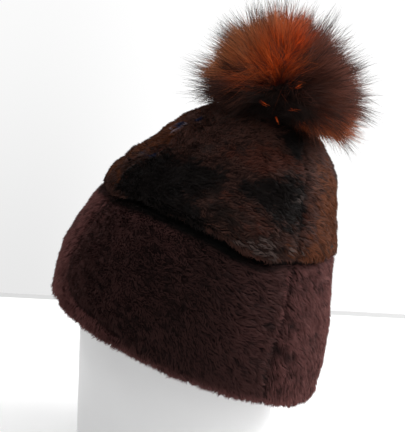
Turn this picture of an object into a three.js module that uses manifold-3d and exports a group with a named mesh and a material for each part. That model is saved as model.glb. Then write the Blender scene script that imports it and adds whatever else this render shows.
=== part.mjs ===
// A fur pom-pom beanie, tilted on the plain white domed stand that carries it.
// Millimetres, +Z up. The viewer looks along +Y, so -Y is the front and +X is the viewer's right.
// The origin is the centre of the stand's underside.
//
// The beanie is sewn from four crown panels over four band panels, with a fur pompom on top.
// It is drawn upright on its own axis, from the rim up, and then leaned over on the stand.
import * as THREE from "three";
import { mergeVertices } from "three/addons/utils/BufferGeometryUtils.js";
import Module from "manifold-3d";

const wasm = await Module();
wasm.setup();

// Where the beanie sits: the middle of its rim, and how far its axis leans to the viewer's right.
const RIM_MIDDLE = new THREE.Vector3(4, 0, 97);
const LEAN_DEG = 20;

// The stand: a drum whose top, hidden in the beanie, is a blunt cone that the crown lies on.
const STAND_RADIUS = 76.3;
const STAND_EDGE_ROUND = 2;
const STAND_SIDES = 36;
const STAND_TOP_RINGS = [
  { height: 148, radius: STAND_RADIUS },
  { height: 160, radius: 75.8 },
  { height: 172, radius: 72 },
  { height: 184, radius: 65.2 },
  { height: 196, radius: 57.2 },
  { height: 208, radius: 48.6 },
  { height: 220, radius: 39.3 },
  { height: 232, radius: 28.8 },
  { height: 242, radius: 17.5 },
];
const STAND_HEIGHT = 248.5;

// Fur walls: hide and pile together.
const BAND_WALL = 14;
const CROWN_WALL = 11;
const LIP_WALL = 6;
const PIECE_GAP = 0.3;

// Seams run up the beanie at these azimuths, 0 being the front and 90 the viewer's right.
const PANELS = [
  { side: "front", from: -68, to: 35 },
  { side: "right", from: 35, to: 112 },
  { side: "back", from: 112, to: 225 },
  { side: "left", from: 225, to: 292 },
];
const SEAM_DEPTH = 2.6;
const SEAM_WIDTH_DEG = 3.5;
const SEAM_STATIONS_DEG = [0, 2.5, 6];
const STATION_STEP_DEG = 9;

// The band's outer side, from the rolled rim to the crown's hem. shift moves a ring along X.
const BAND_RINGS = [
  { height: 0, radius: 109, shift: 2.5 },
  { height: 15, radius: 110.7, shift: -1 },
  { height: 30, radius: 110.2, shift: -3.2 },
  { height: 44, radius: 107.5, shift: -4.7 },
  { height: 61, radius: 103.5, shift: -5.8 },
  { height: 79, radius: 97.5, shift: -7.2 },
  { height: 100, radius: 91, shift: -8.4 },
  { height: 112, radius: 87.5, shift: -8.6 },
];
const RIM_ROLL_RADIUS = BAND_WALL / 2;
const RIM_ROLL_STEPS = 4;
const RIM_ROLL_END_DEG = 72;
const BAND_SIDE_STEPS = 7;
const BAND_SHOULDER = { starts: 7, turns: 2, tuck: 1.6, lip: 1 };

// The crown's outer side, from just under the hem to the hole that the pompom covers.
const CROWN_RINGS = [
  { height: 80, radius: 97, shift: -7.2 },
  { height: 102, radius: 92.3, shift: -8 },
  { height: 118, radius: 84.8, shift: -7 },
  { height: 133, radius: 75.5, shift: -5.6 },
  { height: 148, radius: 67.8, shift: -5 },
  { height: 164, radius: 56.5, shift: -3.4 },
  { height: 177, radius: 41, shift: -2.4 },
  { height: 185, radius: 24, shift: -2.5 },
  { height: 188, radius: 6, shift: -2.5 },
];
const CROWN_SIDE_STARTS = 19;
const CROWN_SIDE_STEPS = 11;
const FADE_DENTS = { from: 170, to: 184 };

// The hem hangs lower where the crown sags. It covers a tucked lip of the band.
const HEM_HEIGHTS = [
  { azimuth: -68, height: 88 },
  { azimuth: -35, height: 97.5 },
  { azimuth: -8, height: 99 },
  { azimuth: 18, height: 93.5 },
  { azimuth: 32, height: 100 },
  { azimuth: 45, height: 102.5 },
  { azimuth: 70, height: 108 },
  { azimuth: 112, height: 106 },
  { azimuth: 168, height: 99 },
  { azimuth: 225, height: 89 },
  { azimuth: 258, height: 86 },
];
const LIP_RISE = 9;
const LAP_SIDE = { bottom: 84, bottomRadius: 90, top: 122, topRadius: 73.5, shift: -8 };

// The hem's rounded edge, by height over the hem line and how far it is tucked in there.
const HEM_EDGE = [
  { rise: 0, tuck: 3 },
  { rise: 1.5, tuck: 0.8 },
  { rise: 5, tuck: 0 },
  { rise: 12, tuck: 0 },
];

// The rim hangs lower at its two sides than in front.
const RIM_DROPS = [
  { azimuth: -90, height: -5 },
  { azimuth: 0, height: 0 },
  { azimuth: 75, height: -3 },
  { azimuth: 180, height: 0 },
];
const RIM_DROP_FADES_AT = 40;

// Dents pull the pile in, and bulges, with a minus sign, push it out.
const BAND_DENTS = [
  { azimuth: 33, height: 38, wide: 5, tall: 7, depth: 3 },
  { azimuth: -66, height: 52, wide: 6, tall: 16, depth: 2.5 },
  { azimuth: -15, height: 50, wide: 30, tall: 22, depth: -1.5 },
  { azimuth: 20, height: 84, wide: 24, tall: 7, depth: 2 },
  { azimuth: 168, height: 48, wide: 32, tall: 22, depth: -1.5 },
  { azimuth: 120, height: 40, wide: 6, tall: 9, depth: 2 },
];
const CROWN_DENTS = [
  { azimuth: -69, height: 134, wide: 7, tall: 6, depth: 6 },
  { azimuth: -60, height: 112, wide: 16, tall: 9, depth: -2.5 },
  { azimuth: -10, height: 108, wide: 32, tall: 8, depth: -2 },
  { azimuth: 22, height: 152, wide: 22, tall: 5, depth: -2.5 },
  { azimuth: 24, height: 166, wide: 34, tall: 7, depth: 4 },
  { azimuth: 40, height: 112, wide: 12, tall: 10, depth: -2 },
  { azimuth: 10, height: 132, wide: 16, tall: 8, depth: 2 },
  { azimuth: 168, height: 150, wide: 26, tall: 8, depth: 3 },
  { azimuth: 150, height: 112, wide: 28, tall: 8, depth: -2 },
];

// The pompom: a flattened fur ball that hangs over the crown's top, with locks standing out of it.
const POMPOM_MIDDLE = { shift: -5.7, height: 200 };
const POMPOM_CORE = { across: 49, up: 49, down: 34 };
const LOCK_ROWS = [
  { rise: 84, count: 4, reach: 64 },
  { rise: 60, count: 9, reach: 64 },
  { rise: 36, count: 13, reach: 66 },
  { rise: 12, count: 16, reach: 67 },
  { rise: -11, count: 15, reach: 66 },
  { rise: -32, count: 13, reach: 59 },
];
const LOCK_SIDES = 5;
const LOCK_STARTS = 30;
const LOCK_ROOT = 18.5;
const LOCK_WAIST = { along: 0.45, share: 0.62 };
const LOCK_SWEEP = 5;
const CORE_SIDES = 20;
const CORE_RINGS = 12;

// How unevenly the locks stand: the size of the change, and its phase from one lock to the next.
const REACH_VARIES = { by: 4.5, phase: 2.4, rowPhase: 1 };
const RISE_VARIES = { by: 4, phase: 1.7, rowPhase: 2.1 };
const SWEEP_VARIES = { by: 6, phase: 1.3, rowPhase: 0.7 };

const HALVINGS = 24;

const rad = THREE.MathUtils.degToRad;
const clamp01 = (x) => Math.min(1, Math.max(0, x));
const smooth = (x) => clamp01(x) ** 2 * (3 - 2 * clamp01(x));

// The smallest turn between two azimuths, in degrees.
function turnBetween(a, b) {
  return Math.abs(((a - b + 540) % 360) - 180);
}

// A smooth curve through a table's rows of radius, height and shift.
function profileCurve(rings) {
  const points = rings.map((r) => new THREE.Vector3(r.radius, r.shift, r.height));
  return new THREE.CatmullRomCurve3(points, false, "centripetal");
}
const bandCurve = profileCurve(BAND_RINGS);
const crownCurve = profileCurve(CROWN_RINGS);

// The share of the way along a curve whose heights only rise, where it reaches a height.
function shareAtHeight(curve, height) {
  let low = 0;
  let high = 1;
  for (let i = 0; i < HALVINGS; i++) {
    const middle = (low + high) / 2;
    if (curve.getPointAt(middle).z < height) low = middle;
    else high = middle;
  }
  return (low + high) / 2;
}

// A ring of a profile: its radius, height and shift, and the way that its wall faces.
function ringOf(curve, share) {
  const at = curve.getPointAt(share);
  const along = curve.getTangentAt(share);
  const facing = new THREE.Vector2(along.z, -along.x).normalize();
  return { radius: at.x, shift: at.y, height: at.z, facing };
}

// A height that a table gives by azimuth, eased between its rows.
function heightAround(rows, azimuth) {
  const turn = (((azimuth - rows[0].azimuth) % 360) + 360) % 360;
  for (let i = 0; i < rows.length; i++) {
    const next = rows[(i + 1) % rows.length];
    const start = rows[i].azimuth - rows[0].azimuth;
    const end = i + 1 < rows.length ? next.azimuth - rows[0].azimuth : 360;
    if (turn <= end) {
      const share = smooth((turn - start) / (end - start));
      return rows[i].height + (next.height - rows[i].height) * share;
    }
  }
  return rows[0].height;
}

// How far the pile is pulled in at a point, by the seams and by a table of dents.
function pullIn(dents, azimuth, height) {
  let pull = 0;
  for (const panel of PANELS) {
    const away = turnBetween(azimuth, panel.from) / SEAM_WIDTH_DEG;
    pull += SEAM_DEPTH * Math.exp(-away * away);
  }
  for (const dent of dents) {
    const sideways = turnBetween(azimuth, dent.azimuth) / dent.wide;
    const upwards = (height - dent.height) / dent.tall;
    pull += dent.depth * Math.exp(-sideways * sideways - upwards * upwards);
  }
  return pull;
}

// A point of a section: a ring moved in along the way that it faces.
function moveIn(ring, depth) {
  return {
    radius: ring.radius - ring.facing.x * depth,
    height: ring.height - ring.facing.y * depth,
    shift: ring.shift,
  };
}

// A band section at one azimuth: pairs of outer and inner points, from the rim to the lip's top.
function bandSection(azimuth) {
  const pairs = [];
  const hem = heightAround(HEM_HEIGHTS, azimuth);
  const rollShare = shareAtHeight(bandCurve, RIM_ROLL_RADIUS);
  const roll = moveIn(ringOf(bandCurve, rollShare), RIM_ROLL_RADIUS);
  const rimPull = pullIn(BAND_DENTS, azimuth, RIM_ROLL_RADIUS);
  for (let i = RIM_ROLL_STEPS; i > 0; i--) {
    const turn = rad((RIM_ROLL_END_DEG * i) / RIM_ROLL_STEPS);
    const out = RIM_ROLL_RADIUS * Math.cos(turn);
    const height = roll.height - RIM_ROLL_RADIUS * Math.sin(turn);
    const pulled = rimPull * Math.cos(turn);
    pairs.push([
      { radius: roll.radius + out - pulled, height, shift: roll.shift },
      { radius: roll.radius - out, height, shift: roll.shift },
    ]);
  }
  const endShare = shareAtHeight(bandCurve, hem - BAND_SHOULDER.starts);
  for (let i = 0; i <= BAND_SIDE_STEPS; i++) {
    const share = rollShare + ((endShare - rollShare) * i) / BAND_SIDE_STEPS;
    const ring = ringOf(bandCurve, share);
    const pull = pullIn(BAND_DENTS, azimuth, ring.height);
    pairs.push([moveIn(ring, pull), moveIn(ring, BAND_WALL)]);
  }
  const drop = heightAround(RIM_DROPS, azimuth);
  for (const point of pairs.flat()) {
    point.height += drop * (1 - smooth(point.height / RIM_DROP_FADES_AT));
  }
  const turnHeight = hem - BAND_SHOULDER.turns;
  const top = ringOf(bandCurve, shareAtHeight(bandCurve, turnHeight));
  const topPull = pullIn(BAND_DENTS, azimuth, turnHeight) + BAND_SHOULDER.tuck;
  pairs.push([moveIn(top, topPull), moveIn(top, BAND_WALL)]);
  for (const height of [hem - BAND_SHOULDER.lip, hem + LIP_RISE]) {
    pairs.push([lipOuter(height), lipInner(height)]);
  }
  return pairs;
}

// The straight side that the crown's hem and the band's tucked lip share.
function lapSide(height) {
  const share = (height - LAP_SIDE.bottom) / (LAP_SIDE.top - LAP_SIDE.bottom);
  const radius = LAP_SIDE.bottomRadius + (LAP_SIDE.topRadius - LAP_SIDE.bottomRadius) * share;
  return { radius, height, shift: LAP_SIDE.shift };
}

function lipOuter(height) {
  const side = lapSide(height);
  return { ...side, radius: side.radius - PIECE_GAP };
}

function lipInner(height) {
  const side = lapSide(height);
  return { ...side, radius: side.radius - LIP_WALL };
}

// A crown section at one azimuth: pairs from the rounded hem to the hole at the top.
// grow moves its outer side outwards.
function crownSection(azimuth, grow = 0) {
  const hem = heightAround(HEM_HEIGHTS, azimuth);
  const pairs = HEM_EDGE.map((edge) => {
    const height = hem + edge.rise;
    const ring = ringOf(crownCurve, shareAtHeight(crownCurve, height));
    return [moveIn(ring, pullIn(CROWN_DENTS, azimuth, height) + edge.tuck), lapSide(height)];
  });
  const startShare = shareAtHeight(crownCurve, hem + CROWN_SIDE_STARTS);
  for (let i = 0; i <= CROWN_SIDE_STEPS; i++) {
    const share = startShare + ((1 - startShare) * i) / CROWN_SIDE_STEPS;
    const ring = ringOf(crownCurve, share);
    const fade = 1 - smooth((ring.height - FADE_DENTS.from) / (FADE_DENTS.to - FADE_DENTS.from));
    const outer = moveIn(ring, pullIn(CROWN_DENTS, azimuth, ring.height) * fade - grow);
    const inner = moveIn(ring, CROWN_WALL);
    inner.radius = Math.max(inner.radius, CROWN_RINGS.at(-1).radius);
    pairs.push([outer, inner]);
  }
  return pairs;
}

// Where a section's point lies in space, on the beanie's own axis.
function place(point, azimuth) {
  const turn = rad(azimuth);
  return [
    point.shift + point.radius * Math.sin(turn),
    -point.radius * Math.cos(turn),
    point.height,
  ];
}

// The azimuths of a panel's sections: close together at its seams, where the pile dips.
function stations(panel) {
  const width = panel.to - panel.from;
  const margin = SEAM_STATIONS_DEG.at(-1);
  const middle = width - 2 * margin;
  const steps = Math.round(middle / STATION_STEP_DEG);
  const inside = [];
  for (let i = 1; i < steps; i++) inside.push(margin + (middle * i) / steps);
  const end = SEAM_STATIONS_DEG.map((x) => width - x).reverse();
  return [...SEAM_STATIONS_DEG, ...inside, ...end].map((x) => panel.from + x);
}

// One panel as a closed solid: its sections side by side, with half a gap left at each seam.
function panelGeometry(panel, sectionAt) {
  const azimuths = stations(panel);
  const sections = azimuths.map(sectionAt);
  const vertices = [];
  const loops = sections.map((pairs, i) => {
    const atSeam = i === 0 ? 1 : i === azimuths.length - 1 ? -1 : 0;
    const outer = pairs.map((pair) => pair[0]);
    const inner = pairs.map((pair) => pair[1]).reverse();
    return [...outer, ...inner].map((point) => {
      const back = THREE.MathUtils.radToDeg((atSeam * PIECE_GAP) / 2 / point.radius);
      vertices.push(...place(point, azimuths[i] + back));
      return vertices.length / 3 - 1;
    });
  });
  const triangles = [];
  const quad = (a, b, c, d) => triangles.push(a, b, c, a, c, d);
  const around = loops[0].length;
  for (let i = 0; i + 1 < loops.length; i++) {
    for (let j = 0; j < around; j++) {
      const k = (j + 1) % around;
      quad(loops[i][j], loops[i + 1][j], loops[i + 1][k], loops[i][k]);
    }
  }
  const first = loops[0];
  const last = loops.at(-1);
  for (let j = 0; j + 1 < around / 2; j++) {
    const back = around - 1 - j;
    quad(first[j], first[j + 1], first[back - 1], first[back]);
    quad(last[j], last[back], last[back - 1], last[j + 1]);
  }
  return indexedGeometry(vertices, triangles);
}

function indexedGeometry(vertices, triangles) {
  const geometry = new THREE.BufferGeometry();
  geometry.setAttribute("position", new THREE.Float32BufferAttribute(vertices, 3));
  geometry.setIndex(triangles);
  return geometry;
}

// A closed geometry as a manifold-3d solid, and back.
function toSolid(geometry) {
  const bare = geometry.clone();
  bare.deleteAttribute("normal");
  bare.deleteAttribute("uv");
  const merged = mergeVertices(bare, 1e-4);
  return new wasm.Manifold(
    new wasm.Mesh({
      numProp: 3,
      vertProperties: new Float32Array(merged.attributes.position.array),
      triVerts: new Uint32Array(merged.index.array),
    }),
  );
}

function toGeometry(solid) {
  const mesh = solid.getMesh();
  const geometry = new THREE.BufferGeometry();
  geometry.setAttribute("position", new THREE.BufferAttribute(mesh.vertProperties, 3));
  geometry.setIndex(new THREE.BufferAttribute(mesh.triVerts, 1));
  return geometry;
}

// The crown's outside as one closed plug, a gap larger all round, to cut the pompom's seat.
function crownPlug() {
  const azimuths = PANELS.flatMap((panel) => stations(panel).slice(0, -1));
  const loops = azimuths.map((azimuth) =>
    crownSection(azimuth, PIECE_GAP)
      .slice(HEM_EDGE.length)
      .map((pair) => place(pair[0], azimuth)),
  );
  const rings = loops[0].length;
  const vertices = loops.flat(2);
  const middle = loops.length * rings;
  vertices.push(LAP_SIDE.shift, 0, loops[0][0][2]);
  vertices.push(CROWN_RINGS.at(-1).shift, 0, loops[0].at(-1)[2]);
  const triangles = [];
  for (let i = 0; i < loops.length; i++) {
    const here = i * rings;
    const next = ((i + 1) % loops.length) * rings;
    for (let j = 0; j + 1 < rings; j++) {
      triangles.push(here + j, next + j, next + j + 1, here + j, next + j + 1, here + j + 1);
    }
    triangles.push(middle, next, here, middle + 1, here + rings - 1, next + rings - 1);
  }
  return indexedGeometry(vertices, triangles);
}

// The pompom's core: a ball that is rounder above than below.
function pompomCore() {
  const { across, up, down } = POMPOM_CORE;
  const ball = new THREE.SphereGeometry(1, CORE_SIDES, CORE_RINGS).rotateX(Math.PI / 2);
  ball.scale(across, across, up);
  const position = ball.attributes.position;
  for (let i = 0; i < position.count; i++) {
    const z = position.getZ(i);
    if (z < 0) position.setZ(i, (z * down) / up);
  }
  return ball;
}

// One lock of fur: a bent spike from inside the core to its tip, fullest near its root.
function lockGeometry(azimuth, rise, reach, sideSweep) {
  const out = new THREE.Vector3(
    Math.sin(rad(azimuth)) * Math.cos(rad(rise)),
    -Math.cos(rad(azimuth)) * Math.cos(rad(rise)),
    Math.sin(rad(rise)),
  );
  const side = new THREE.Vector3(Math.cos(rad(azimuth)), Math.sin(rad(azimuth)), 0);
  const up = new THREE.Vector3().crossVectors(side, out);
  const length = reach - LOCK_STARTS;
  const profile = [
    new THREE.Vector2(0, 0),
    new THREE.Vector2(LOCK_ROOT, 0),
    new THREE.Vector2(LOCK_ROOT * LOCK_WAIST.share, length * LOCK_WAIST.along),
    new THREE.Vector2(0, length),
  ];
  const lock = new THREE.LatheGeometry(profile, LOCK_SIDES);
  const position = lock.attributes.position;
  for (let i = 0; i < position.count; i++) {
    const bend = (position.getY(i) / length) ** 2;
    position.setX(i, position.getX(i) + sideSweep * bend);
    position.setZ(i, position.getZ(i) + LOCK_SWEEP * bend);
  }
  lock.translate(0, LOCK_STARTS, 0);
  return lock.applyMatrix4(new THREE.Matrix4().makeBasis(side, out, up));
}

// The pompom: core and locks joined and seated on the crown. Tips that the crown cuts off go.
function pompomGeometry() {
  let solid = toSolid(pompomCore());
  LOCK_ROWS.forEach((row, r) => {
    for (let i = 0; i < row.count; i++) {
      const azimuth = (360 * (i + (r % 2) / 2)) / row.count;
      const reach = row.reach + unevenness(REACH_VARIES, i, r);
      const rise = row.rise + unevenness(RISE_VARIES, i, r);
      const sideSweep = unevenness(SWEEP_VARIES, i, r);
      solid = solid.add(toSolid(lockGeometry(azimuth, rise, reach, sideSweep)));
    }
  });
  const seated = solid
    .translate([POMPOM_MIDDLE.shift, 0, POMPOM_MIDDLE.height])
    .subtract(toSolid(crownPlug()));
  const bodies = seated.decompose().sort((a, b) => b.volume() - a.volume());
  return toGeometry(bodies[0]);
}

function unevenness(varies, lock, row) {
  return varies.by * Math.sin(lock * varies.phase + row * varies.rowPhase);
}

// The stand: turned about its own axis, flat below.
function standGeometry() {
  const profile = [
    new THREE.Vector2(0, 0),
    new THREE.Vector2(STAND_RADIUS - STAND_EDGE_ROUND, 0),
    new THREE.Vector2(STAND_RADIUS, STAND_EDGE_ROUND),
    ...STAND_TOP_RINGS.map((ring) => new THREE.Vector2(ring.radius, ring.height)),
    new THREE.Vector2(0, STAND_HEIGHT),
  ];
  return new THREE.LatheGeometry(profile, STAND_SIDES).rotateX(Math.PI / 2);
}

const bandFur = new THREE.MeshStandardMaterial({ color: 0x4a2429, roughness: 0.95, metalness: 0 });
const crownFur = new THREE.MeshStandardMaterial({ color: 0x2e1613, roughness: 0.9, metalness: 0 });
const pompomFur = new THREE.MeshStandardMaterial({ color: 0x6b2a12, roughness: 0.85, metalness: 0 });
const standWhite = new THREE.MeshStandardMaterial({ color: 0xe6e7ea, roughness: 0.5, metalness: 0 });

function part(name, geometry, material) {
  const mesh = new THREE.Mesh(geometry, material);
  mesh.name = name;
  return mesh;
}

const beanie = new THREE.Group();
for (const panel of PANELS) {
  beanie.add(part(`band_${panel.side}`, panelGeometry(panel, bandSection), bandFur));
  const crown = panelGeometry(panel, (azimuth) => crownSection(azimuth));
  beanie.add(part(`crown_${panel.side}`, crown, crownFur));
}
beanie.add(part("pompom", pompomGeometry(), pompomFur));
beanie.position.copy(RIM_MIDDLE);
beanie.rotation.y = rad(LEAN_DEG);

const root = new THREE.Group();
root.add(beanie);
root.add(part("stand", standGeometry(), standWhite));

export default root;
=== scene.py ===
"""A fur pom-pom beanie on its plain white stand: its furs, colours, light and camera."""
import math

import bmesh
import bpy
import numpy as np
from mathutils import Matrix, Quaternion, Vector


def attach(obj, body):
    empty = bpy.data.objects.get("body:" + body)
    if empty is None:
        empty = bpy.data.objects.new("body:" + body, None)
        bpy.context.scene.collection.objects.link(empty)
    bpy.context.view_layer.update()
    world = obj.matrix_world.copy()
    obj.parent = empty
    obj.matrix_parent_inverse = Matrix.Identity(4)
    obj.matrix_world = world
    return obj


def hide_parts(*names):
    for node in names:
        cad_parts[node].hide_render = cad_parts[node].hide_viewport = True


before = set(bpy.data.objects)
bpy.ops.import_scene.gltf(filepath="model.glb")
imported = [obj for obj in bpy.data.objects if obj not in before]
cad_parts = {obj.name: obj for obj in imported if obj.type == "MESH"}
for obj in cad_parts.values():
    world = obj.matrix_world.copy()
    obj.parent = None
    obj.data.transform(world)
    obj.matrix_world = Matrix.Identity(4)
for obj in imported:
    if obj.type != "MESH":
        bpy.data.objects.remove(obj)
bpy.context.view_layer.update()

# The beanie's own axis: it starts at the middle of the rim and leans towards +X.
RIM_MIDDLE = np.array([0.004, 0.0, 0.097])
LEAN = math.radians(20)
SIDES = ("front", "right", "back", "left")

# How far the axis shifts along X with height, in metres.
SHIFT_HEIGHTS = (0.0, 0.015, 0.030, 0.044, 0.061, 0.079, 0.100, 0.118, 0.133, 0.148, 0.164, 0.188)
SHIFTS = (
    0.0025, -0.0010, -0.0032, -0.0047, -0.0058, -0.0072,
    -0.0080, -0.0070, -0.0056, -0.0050, -0.0034, -0.0025,
)

# The crown's lower edge round the beanie, in degrees and metres.
HEM_AZIMUTHS = (-68, -35, -8, 18, 32, 45, 70, 112, 168, 225, 258)
HEM_HEIGHTS = (0.088, 0.0975, 0.099, 0.0935, 0.100, 0.1025, 0.108, 0.106, 0.099, 0.089, 0.086)

# The outer radii of the band and the crown, by height.
BAND_HEIGHTS = (-0.01, 0.0, 0.015, 0.03, 0.044, 0.061, 0.079, 0.1, 0.112)
BAND_RADII = (0.106, 0.109, 0.1107, 0.1102, 0.1075, 0.1035, 0.0975, 0.091, 0.0875)
CROWN_HEIGHTS = (0.102, 0.118, 0.133, 0.148, 0.164, 0.177, 0.185, 0.188)
CROWN_RADII = (0.0923, 0.0848, 0.0755, 0.0678, 0.0565, 0.041, 0.024, 0.0)

# The band's radius about its middle, by which a turn round it is measured in metres.
BAND_MIDDLE_RADIUS = 0.105

POMPOM_AT = np.array([-0.0057, 0.0, 0.200])
POMPOM_RADIUS = 0.0575

random = np.random.default_rng(20)


# Places on the beanie

def leaned(vectors, lean):
    x, y, z = vectors.T
    c, s = math.cos(lean), math.sin(lean)
    return np.stack([x * c + z * s, y, -x * s + z * c], -1)


def turn_to_beanie(vectors):
    return leaned(vectors, -LEAN)


def to_beanie(points):
    """Points in space as points on the beanie's own axis."""
    return turn_to_beanie(points - RIM_MIDDLE)


def turn_to_space(vectors):
    return leaned(vectors, LEAN)


def to_space(points):
    return turn_to_space(points) + RIM_MIDDLE


def axis_shift(height):
    return np.interp(height, SHIFT_HEIGHTS, SHIFTS)


def azimuth_and_height(points):
    """Degrees round from the front towards the viewer's right, and metres up from the rim."""
    x, y, z = to_beanie(points).T
    return np.degrees(np.arctan2(x - axis_shift(z), -y)), z


def hem_height(azimuth):
    return np.interp(azimuth, HEM_AZIMUTHS, HEM_HEIGHTS, period=360)


def turn_between(a, b):
    return np.abs((a - b + 180) % 360 - 180)


def ease(x, low, high):
    t = np.clip((x - low) / (high - low), 0, 1)
    return t * t * (3 - 2 * t)


def unit(vectors):
    return vectors / np.maximum(np.linalg.norm(vectors, axis=-1, keepdims=True), 1e-9)


def within(azimuth, height, at, up, wide, tall):
    """1 at the middle of a soft round place on the beanie, falling to 0 well outside it."""
    away = (turn_between(azimuth, at) / wide) ** 2 + ((height - up) / tall) ** 2
    return np.exp(-away)


def off_line(azimuth, height, line):
    """Metres from each place to a line over the band: positive on its left, going along it."""
    degree = math.radians(1) * BAND_MIDDLE_RADIUS
    places = np.stack([azimuth * degree, height], -1)
    ends = np.array(line) * (degree, 1)
    nearest = np.full(len(places), 1.0)
    for a, b in zip(ends[:-1], ends[1:]):
        share = np.clip((places - a) @ (b - a) / ((b - a) @ (b - a)), 0, 1)
        gap = places - a - share[:, None] * (b - a)
        away = np.linalg.norm(gap, axis=1)
        left = np.where((b - a)[0] * gap[:, 1] - (b - a)[1] * gap[:, 0] > 0, 1, -1)
        nearest = np.where(away < np.abs(nearest), away * left, nearest)
    return nearest


def waves(points, size, seed):
    """A soft random field over space, mostly from -1 to 1, whose patches are about this size."""
    maker = np.random.default_rng(seed)
    total = np.zeros(len(points))
    for _ in range(9):
        way = unit(maker.normal(size=3)) / size * maker.uniform(0.5, 1.1)
        total += np.sin(points @ way * 2 * math.pi + maker.uniform(0, 2 * math.pi))
    return total / 4


# Meshes

def select_only(piece):
    bpy.ops.object.select_all(action="DESELECT")
    piece.select_set(True)
    bpy.context.view_layer.objects.active = piece


def new_shape(name, add, **values):
    """A piece made by one of Blender's own shapes."""
    bpy.ops.object.select_all(action="DESELECT")
    add(**values)
    piece = bpy.context.view_layer.objects.active
    piece.name = piece.data.name = name
    return piece


def joined_copy(node, name):
    """A copy of a solid with its loose triangles joined at their corners."""
    select_only(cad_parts[node])
    bpy.ops.object.duplicate()
    copy = bpy.context.view_layer.objects.active
    copy.parent = None
    copy.name = copy.data.name = name
    for key in list(copy.keys()):
        del copy[key]
    bpy.ops.object.mode_set(mode="EDIT")
    bpy.ops.mesh.select_all(action="SELECT")
    bpy.ops.mesh.remove_doubles(threshold=1e-6)
    bpy.ops.object.mode_set(mode="OBJECT")
    return copy


def corners_of(mesh):
    """Positions and normals of a mesh's corners, and its triangles."""
    mesh.calc_loop_triangles()
    points = np.empty(len(mesh.vertices) * 3)
    mesh.vertices.foreach_get("co", points)
    normals = np.empty(len(mesh.vertices) * 3)
    mesh.vertex_normals.foreach_get("vector", normals)
    triangles = np.empty(len(mesh.loop_triangles) * 3, np.int64)
    mesh.loop_triangles.foreach_get("vertices", triangles)
    return points.reshape(-1, 3), normals.reshape(-1, 3), triangles.reshape(-1, 3)


def add_numbers(mesh, name, values):
    mesh.attributes.new(name, "FLOAT", "POINT").data.foreach_set("value", np.asarray(values, np.float32))


def strand_mesh(name, spines, widths, facings, blend_normals):
    """Many closed three-sided strands as one mesh. A strand is a point, rings and a point.

    spines is strands x rings x 3, widths is strands x rings, and facings the way each one's
    ground faces. Returns the object and, for each corner, its strand and its share of the way.
    """
    count, rings = spines.shape[:2]
    middle = rings - 2
    along = unit(spines[:, -1] - spines[:, 0])
    side = unit(np.cross(along, facings))
    up = np.cross(along, side)
    roll = random.uniform(0, 2 * math.pi, count)[:, None] + np.arange(3) * 2 * math.pi / 3
    out = np.cos(roll)[..., None] * side[:, None] + np.sin(roll)[..., None] * up[:, None]
    per = 2 + 3 * middle
    points = np.empty((count, per, 3))
    normals = np.empty((count, per, 3))
    share = np.empty((count, per))
    points[:, 0], points[:, -1] = spines[:, 0], spines[:, -1]
    normals[:, 0], normals[:, -1] = facings, facings
    share[:, 0], share[:, -1] = 0, 1
    for ring in range(middle):
        at = slice(1 + 3 * ring, 4 + 3 * ring)
        points[:, at] = spines[:, ring + 1, None] + out * widths[:, ring + 1, None, None]
        normals[:, at] = unit(facings[:, None] * blend_normals + out * (1 - blend_normals))
        share[:, at] = (ring + 1) / (rings - 1)
    triangles, quads = [], []
    for j in range(3):
        k = (j + 1) % 3
        triangles.append((0, 1 + k, 1 + j))
        last = 1 + 3 * (middle - 1)
        triangles.append((per - 1, last + j, last + k))
        for ring in range(middle - 1):
            a = 1 + 3 * ring
            quads.append((a + j, a + k, a + 3 + k, a + 3 + j))
    starts = np.arange(count)[:, None, None] * per
    three = (np.array(triangles)[None] + starts).reshape(-1, 3)
    four = (np.array(quads, int).reshape(-1, 4)[None] + starts).reshape(-1, 4)
    mesh = bpy.data.meshes.new(name)
    mesh.vertices.add(count * per)
    mesh.vertices.foreach_set("co", points.ravel())
    mesh.loops.add(three.size + four.size)
    mesh.loops.foreach_set("vertex_index", np.concatenate([three.ravel(), four.ravel()]))
    mesh.polygons.add(len(three) + len(four))
    starts = np.concatenate([np.arange(len(three)) * 3, three.size + np.arange(len(four)) * 4])
    mesh.polygons.foreach_set("loop_start", starts)
    mesh.polygons.foreach_set("use_smooth", np.ones(len(three) + len(four), bool))
    mesh.update(calc_edges=True)
    lay_out_for_baking(mesh, count, middle)
    mesh.normals_split_custom_set_from_vertices(normals.reshape(-1, 3))
    piece = bpy.data.objects.new(name, mesh)
    bpy.context.scene.collection.objects.link(piece)
    return piece, np.repeat(np.arange(count), per), share.ravel()


def lay_out_for_baking(mesh, count, middle):
    """A cell of the map for each strand: along it from the bottom up, with its three sides stacked."""
    three, four = [], []
    for _ in range(3):
        first, last = 1 / (middle + 1), middle / (middle + 1)
        three += [(0.5, 0.0), (1.0, first), (0.0, first), (0.5, 1.0), (0.0, last), (1.0, last)]
        for ring in range(1, middle):
            low, high = ring / (middle + 1), (ring + 1) / (middle + 1)
            four += [(0.0, low), (1.0, low), (1.0, high), (0.0, high)]
    columns = math.ceil(math.sqrt(count * 4))
    rows = math.ceil(count / columns)
    cells = np.stack([np.arange(count) % columns, np.arange(count) // columns], -1)[:, None]
    places = []
    for corners in (three, four):
        inside = np.array(corners, float).reshape(-1, 2)[None] * 0.8 + 0.1
        places.append(((cells + inside) / (columns, rows)).reshape(-1, 2))
    layer = mesh.uv_layers.new(name="OFBake")
    layer.data.foreach_set("uv", np.concatenate(places).ravel())


# Fur on the beanie's panels

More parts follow.
